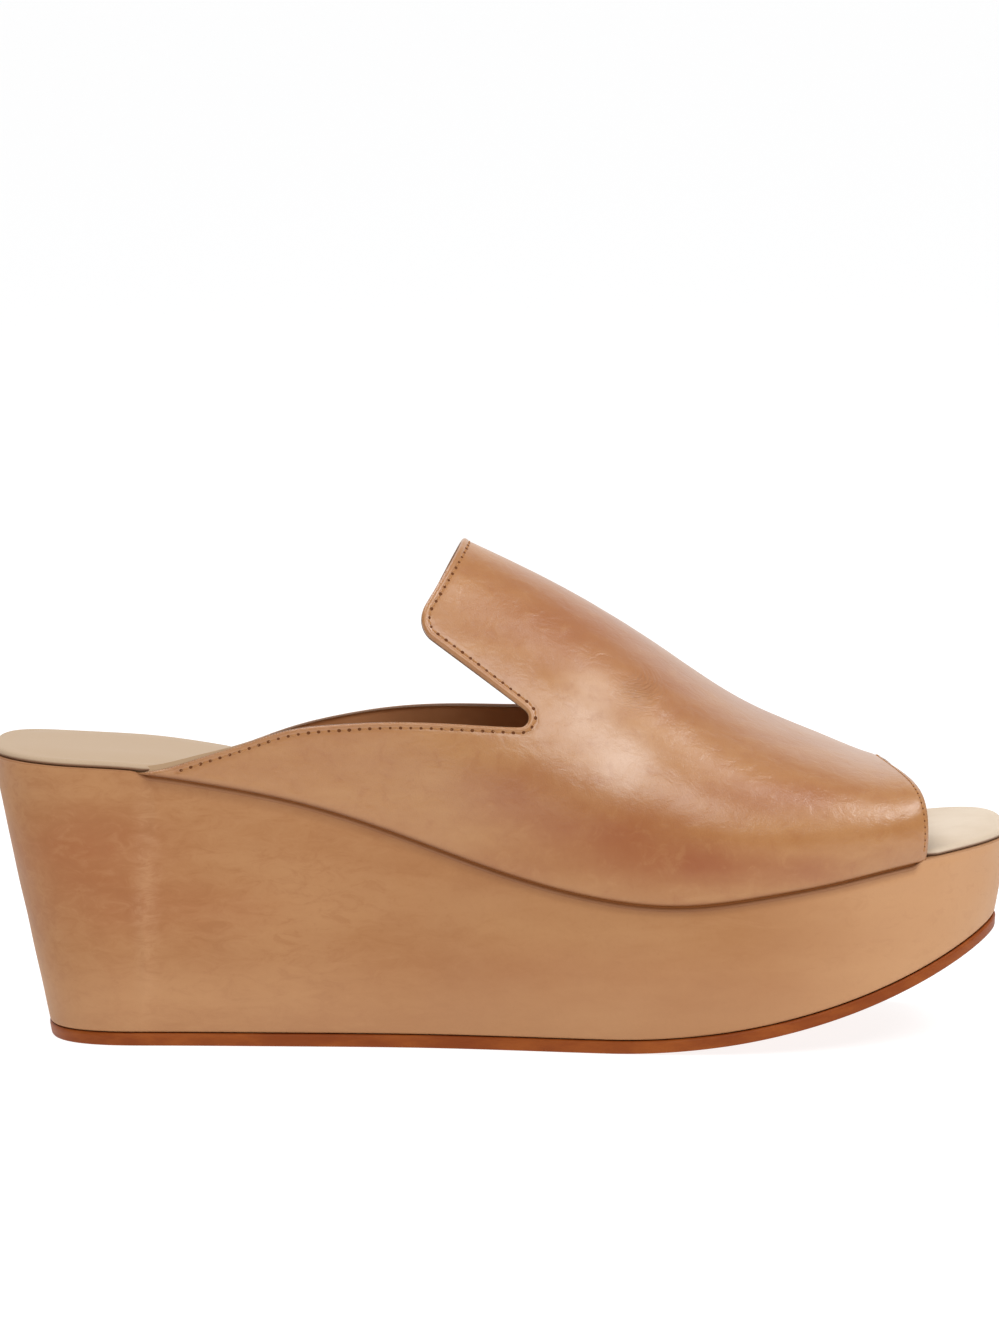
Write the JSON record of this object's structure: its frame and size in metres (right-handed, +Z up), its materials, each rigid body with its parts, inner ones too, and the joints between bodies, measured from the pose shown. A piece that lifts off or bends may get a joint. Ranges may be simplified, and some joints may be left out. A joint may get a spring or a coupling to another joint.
{
  "type": "wedge mule",
  "caption": "Women's backless wedge mule for the right foot: smooth tan leather upper with a high tongue, side notches and open toe, on a leather-covered wedge with a thin flat outsole.",
  "frame": {"origin": "on the floor, in the middle of the shoe's length and width", "axes": "+X from heel to toe, +Y to the medial (inner) side, +Z up"},
  "size_m": [0.252, 0.0914, 0.1219],
  "materials": {
    "outsole": "satin",
    "wedge": "matte",
    "insole": "matte",
    "upper": "semi-gloss"
  },
  "bodies": {
    "root": {"outsole": "outsole", "wedge": "wedge", "insole": "insole", "upper": "upper"}
  },
  "joints": []
}
